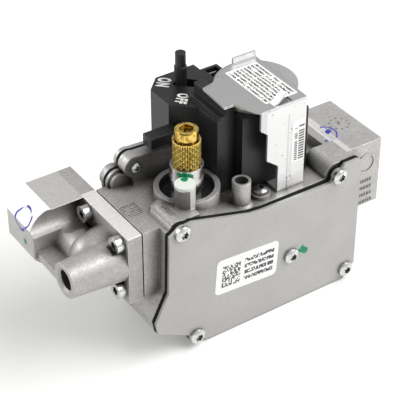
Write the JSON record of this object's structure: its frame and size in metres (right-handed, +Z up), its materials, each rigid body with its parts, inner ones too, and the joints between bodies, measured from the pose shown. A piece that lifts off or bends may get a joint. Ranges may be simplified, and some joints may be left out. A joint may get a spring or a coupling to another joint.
{
  "type": "gas control valve",
  "caption": "Combination gas valve: cast body with inlet, bolted outlet elbow, twin solenoids, regulator screw, test nipple and ON/OFF slide switch",
  "frame": {"origin": "middle of the flat base face of the body, on the plane of the gas flow axis", "axes": "+X points out of the inlet port, +Y points away from the front cover towards the outlet port's mouth, +Z is up towards the switch and the bracket top"},
  "size_m": [0.1751, 0.0758, 0.1229],
  "materials": {
    "cast_aluminium": "die cast, light grey, satin",
    "turned_aluminium": "turned, bright",
    "cover_sheet": "flat sheet, matte pale grey",
    "black_rubber": "smooth",
    "zinc_screw": "zinc plated, bright",
    "steel": "drawn, satin",
    "pole_steel": "plain grey, satin",
    "zinc_sheet": "zinc plated sheet, off-white, lightly specked",
    "brass": "turned, bright",
    "tinned_brass": "tinned",
    "white_plastic": "moulded, natural",
    "copper": "enamelled winding wire",
    "black_plastic": "moulded, fine grain"
  },
  "bodies": {
    "valve": {"valve_body": "cast_aluminium", "outlet_elbow": "cast_aluminium", "front_cover": "cover_sheet", "rear_cover": "cast_aluminium", "front_gasket": "black_rubber", "rear_gasket": "black_rubber", "elbow_seal": "black_rubber", "recess_seal": "black_rubber", "regulator_diaphragm": "black_rubber", "main_diaphragm": "black_rubber", "front_screws": "zinc_screw", "rear_screws": "zinc_screw", "wall_screw": "zinc_screw", "deck_screw": "zinc_screw", "elbow_bolts": "zinc_screw", "inlet_screen": "steel", "clamp_ring": "steel", "regulator_tower": "turned_aluminium", "regulator_spring": "steel", "main_spring": "steel", "plunger_spring_a": "steel", "plunger_spring_b": "steel", "pole_cap": "pole_steel", "bracket": "zinc_sheet", "guide_tubes": "brass", "fixed_contacts": "brass", "terminals": "tinned_brass", "bobbins": "white_plastic", "windings": "copper", "coil_housing": "black_plastic", "switch_housing": "black_plastic"},
    "cap": {"regulator_cap": "brass"},
    "adjuster": {"regulator_adjuster": "brass"},
    "nipple_plug": {"nipple_screw": "zinc_screw"},
    "switch": {"switch_lever": "black_plastic", "contact_bridge": "brass"},
    "valve_a": {"plunger_a": "steel", "disc_a": "black_rubber"},
    "valve_b": {"plunger_b": "steel", "disc_b": "black_rubber"},
    "main_valve": {"main_disc": "black_rubber", "main_stem": "turned_aluminium"}
  },
  "joints": [
    {"name": "cap_turn", "type": "hinge", "parent": "valve", "child": "cap", "pos_m": [-0.0356, -0.005, 0.09], "axis": [0, 0, 1], "range_deg": [0, 1440]},
    {"name": "adjuster_turn", "type": "hinge", "parent": "valve", "child": "adjuster", "pos_m": [-0.0356, -0.005, 0.09], "axis": [0, 0, 1], "range_deg": [-1080, 1080]},
    {"name": "nipple_turn", "type": "hinge", "parent": "valve", "child": "nipple_plug", "pos_m": [-0.0146, -0.0194, 0.07], "axis": [0, 0, 1], "range_deg": [0, 1080]},
    {"name": "switch_slide", "type": "slide", "parent": "valve", "child": "switch", "axis": [0.7071, -0.7071, 0], "range_m": [0, 0.0066]},
    {"name": "valve_a_lift", "type": "slide", "parent": "valve", "child": "valve_a", "axis": [0, 0, 1], "range_m": [0, 0.0025], "stiffness_N_per_m": 200, "springref_m": -0.006, "deforming": ["plunger_spring_a"]},
    {"name": "valve_b_lift", "type": "slide", "parent": "valve", "child": "valve_b", "axis": [0, 0, 1], "range_m": [0, 0.0025], "stiffness_N_per_m": 200, "springref_m": -0.006, "deforming": ["plunger_spring_b"]},
    {"name": "main_open", "type": "slide", "parent": "valve", "child": "main_valve", "axis": [0, -1, 0], "range_m": [0, 0.0025], "stiffness_N_per_m": 300, "springref_m": -0.006, "deforming": ["main_spring", "main_diaphragm"]}
  ]
}
